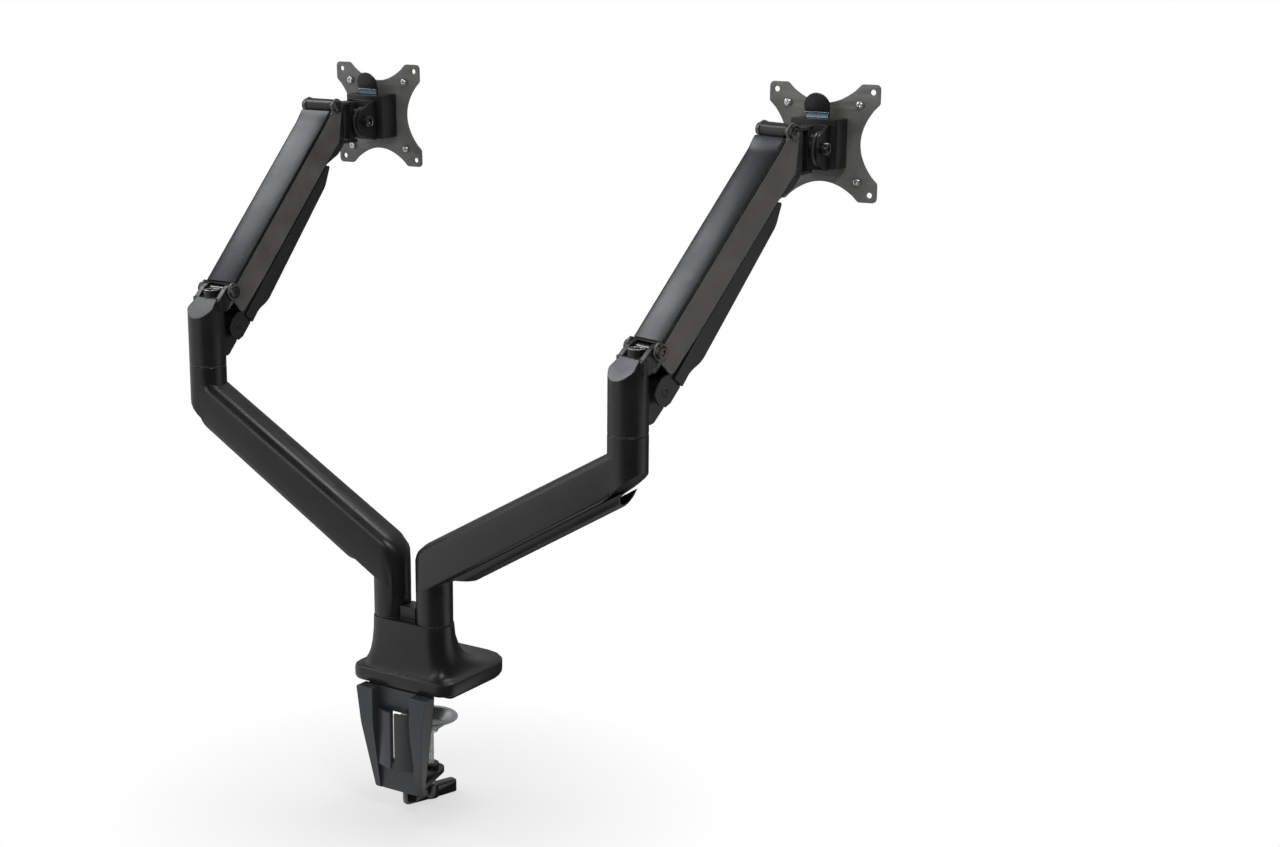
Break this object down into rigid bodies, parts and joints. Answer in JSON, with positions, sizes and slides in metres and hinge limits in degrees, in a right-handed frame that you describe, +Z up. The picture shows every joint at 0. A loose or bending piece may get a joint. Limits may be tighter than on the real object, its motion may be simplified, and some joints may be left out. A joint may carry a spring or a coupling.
{
  "type": "dual monitor arm",
  "caption": "Desk-clamped monitor stand with paired gas-spring arms, each with a swivelling elbow and a tilting, turning quick-release plate for a flat display.",
  "frame": {"origin": "on the desk's top face, midway between the axes of the two base posts", "axes": "+Z up, +Y from the desk's rear edge over the desk top, towards the monitors, and +X along the desk's edge to the right arm"},
  "size_m": [0.7027, 0.337, 0.7386],
  "materials": {
    "black_coat": "satin black powder coat with a very fine texture",
    "satin_coat": "smooth semi-gloss black coat",
    "black_steel": "black oxide steel, slightly oily gloss",
    "black_plastic": "black moulded plastic, fine grain",
    "gloss_plastic": "glossy black moulded plastic",
    "washer_plastic": "dark low-friction plastic",
    "grey_plastic": "slate grey moulded plastic",
    "rubber": "black rubber sheet",
    "zinc": "bright zinc-plated steel"
  },
  "bodies": {
    "base": {"base_housing": "black_coat", "base_pad": "rubber", "clamp_bracket": "black_coat", "clamp_cover": "grey_plastic", "left_base_pin": "black_steel", "right_base_pin": "black_steel"},
    "clamp_pad": {"clamp_pad": "zinc"},
    "clamp_screw": {"clamp_screw": "zinc", "clamp_handle": "gloss_plastic"},
    "left_lower": {"left_lower_arm": "black_coat", "left_cable_channel": "black_plastic", "left_base_washer": "washer_plastic", "left_elbow_bolt": "black_steel", "left_elbow_washer": "washer_plastic"},
    "left_elbow": {"left_elbow_post": "black_coat", "left_link_lower_pin": "black_steel"},
    "left_upper": {"left_upper_shell": "black_coat", "left_upper_lid": "satin_coat", "left_gas_spring_cylinder": "black_steel", "left_lift_pin": "black_steel", "left_head_pin": "black_steel"},
    "left_rod": {"left_gas_spring_rod": "zinc"},
    "left_link": {"left_tie_link": "black_coat", "left_cable_tray": "black_plastic"},
    "left_head": {"left_head_knuckle": "black_coat", "left_link_upper_pin": "black_steel"},
    "left_swivel": {"left_swivel_bracket": "black_coat", "left_swivel_pin": "black_steel"},
    "left_tilt": {"left_tilt_yoke": "black_coat", "left_tilt_bolt": "black_steel", "left_tilt_washer": "black_steel"},
    "left_plate": {"left_plate_box": "black_coat", "left_vesa_plate": "black_coat"},
    "left_tab": {"left_release_tab": "black_plastic"},
    "right_lower": {"right_lower_arm": "black_coat", "right_cable_channel": "black_plastic", "right_base_washer": "washer_plastic", "right_elbow_bolt": "black_steel", "right_elbow_washer": "washer_plastic"},
    "right_elbow": {"right_elbow_post": "black_coat", "right_link_lower_pin": "black_steel"},
    "right_upper": {"right_upper_shell": "black_coat", "right_upper_lid": "satin_coat", "right_gas_spring_cylinder": "black_steel", "right_lift_pin": "black_steel", "right_head_pin": "black_steel"},
    "right_rod": {"right_gas_spring_rod": "zinc"},
    "right_link": {"right_tie_link": "black_coat", "right_cable_tray": "black_plastic"},
    "right_head": {"right_head_knuckle": "black_coat", "right_link_upper_pin": "black_steel"},
    "right_swivel": {"right_swivel_bracket": "black_coat", "right_swivel_pin": "black_steel"},
    "right_tilt": {"right_tilt_yoke": "black_coat", "right_tilt_bolt": "black_steel", "right_tilt_washer": "black_steel"},
    "right_plate": {"right_plate_box": "black_coat", "right_vesa_plate": "black_coat"},
    "right_tab": {"right_release_tab": "black_plastic"}
  },
  "joints": [
    {"name": "clamp_turn", "type": "hinge", "parent": "clamp_pad", "child": "clamp_screw", "pos_m": [0, 0.022, -0.11], "axis": [0, 0, 1], "range_deg": [-7920, 2880]},
    {"name": "clamp_slide", "type": "slide", "parent": "base", "child": "clamp_pad", "axis": [0, 0, 1], "range_m": [-0.033, 0.012]},
    {"name": "left_base_swivel", "type": "hinge", "parent": "base", "child": "left_lower", "pos_m": [-0.0268, 0, 0.0697], "axis": [0, 0, 1], "range_deg": [-70, 90]},
    {"name": "left_elbow_swivel", "type": "hinge", "parent": "left_lower", "child": "left_elbow", "pos_m": [-0.26788, -0.00337, 0.3007], "axis": [0, 0, 1], "range_deg": [-59.4, 180.6]},
    {"name": "left_lift", "type": "hinge", "parent": "left_elbow", "child": "left_upper", "pos_m": [-0.26795, 0.01703, 0.3769], "axis": [1, 0.0035, 0], "range_deg": [-71.5, 4]},
    {"name": "left_link_swing", "type": "hinge", "parent": "left_elbow", "child": "left_link", "pos_m": [-0.26798, 0.02503, 0.3379], "axis": [1, 0.0035, 0], "range_deg": [-71.5, 4]},
    {"name": "left_head_level", "type": "hinge", "parent": "left_upper", "child": "left_head", "pos_m": [-0.26855, 0.18953, 0.55868], "axis": [1, 0.0035, 0], "range_deg": [-4, 71.5]},
    {"name": "left_rod_stroke", "type": "slide", "parent": "left_upper", "child": "left_rod", "axis": [-0.0024, 0.6884, 0.7254], "range_m": [-0.00119, 0.01957]},
    {"name": "left_head_swivel", "type": "hinge", "parent": "left_head", "child": "left_swivel", "pos_m": [-0.26863, 0.21113, 0.53798], "axis": [0, 0, 1], "range_deg": [-82.7, 77.3]},
    {"name": "left_head_tilt", "type": "hinge", "parent": "left_swivel", "child": "left_tilt", "pos_m": [-0.27027, 0.24359, 0.53798], "axis": [0.9987, 0.0506, 0], "range_deg": [-31.7, 43.3]},
    {"name": "left_plate_turn", "type": "hinge", "parent": "left_tilt", "child": "left_plate", "pos_m": [-0.27263, 0.29022, 0.54237], "axis": [-0.0506, 0.9983, 0.0297], "range_deg": [-90, 90]},
    {"name": "left_latch", "type": "hinge", "parent": "left_plate", "child": "left_tab", "pos_m": [-0.27185, 0.27481, 0.5299], "axis": [0.9987, 0.0506, 0], "range_deg": [0, 6], "stiffness_Nm_per_rad": 0.4},
    {"name": "right_base_swivel", "type": "hinge", "parent": "base", "child": "right_lower", "pos_m": [0.0268, 0, 0.0697], "axis": [0, 0, 1], "range_deg": [-90, 70]},
    {"name": "right_elbow_swivel", "type": "hinge", "parent": "right_lower", "child": "right_elbow", "pos_m": [0.26725, -0.01766, 0.3007], "axis": [0, 0, 1], "range_deg": [-167.7, 72.3]},
    {"name": "right_lift", "type": "hinge", "parent": "right_elbow", "child": "right_upper", "pos_m": [0.27305, 0.0019, 0.3769], "axis": [0.9588, -0.284, 0], "range_deg": [-74.3, 1.2]},
    {"name": "right_link_swing", "type": "hinge", "parent": "right_elbow", "child": "right_link", "pos_m": [0.27532, 0.00957, 0.3379], "axis": [0.9588, -0.284, 0], "range_deg": [-74.3, 1.2]},
    {"name": "right_head_level", "type": "hinge", "parent": "right_upper", "child": "right_head", "pos_m": [0.31946, 0.15859, 0.56689], "axis": [0.9588, -0.284, 0], "range_deg": [-1.2, 74.3]},
    {"name": "right_rod_stroke", "type": "slide", "parent": "right_upper", "child": "right_rod", "axis": [0.1852, 0.6252, 0.7581], "range_m": [-0.00043, 0.02033]},
    {"name": "right_head_swivel", "type": "hinge", "parent": "right_head", "child": "right_swivel", "pos_m": [0.32559, 0.1793, 0.54619], "axis": [0, 0, 1], "range_deg": [-104, 56]},
    {"name": "right_head_tilt", "type": "hinge", "parent": "right_swivel", "child": "right_tilt", "pos_m": [0.32135, 0.21152, 0.54619], "axis": [0.9914, 0.1305, 0], "range_deg": [-28.7, 46.3]},
    {"name": "right_plate_turn", "type": "hinge", "parent": "right_tilt", "child": "right_plate", "pos_m": [0.31524, 0.25798, 0.54813], "axis": [-0.1305, 0.9912, -0.0227], "range_deg": [-90, 90]},
    {"name": "right_latch", "type": "hinge", "parent": "right_plate", "child": "right_tab", "pos_m": [0.31733, 0.24205, 0.53649], "axis": [0.9914, 0.1305, 0], "range_deg": [0, 6], "stiffness_Nm_per_rad": 0.4}
  ],
  "couplings": [
    {"joint": "clamp_turn", "follows": "clamp_slide", "rad_per_m": 4188.8},
    {"joint": "left_link_swing", "follows": "left_lift", "ratio": 1},
    {"joint": "left_head_level", "follows": "left_lift", "ratio": -1},
    {"joint": "left_rod_stroke", "follows": "left_lift", "m_per_rad": -0.0156},
    {"joint": "right_link_swing", "follows": "right_lift", "ratio": 1},
    {"joint": "right_head_level", "follows": "right_lift", "ratio": -1},
    {"joint": "right_rod_stroke", "follows": "right_lift", "m_per_rad": -0.0156}
  ]
}
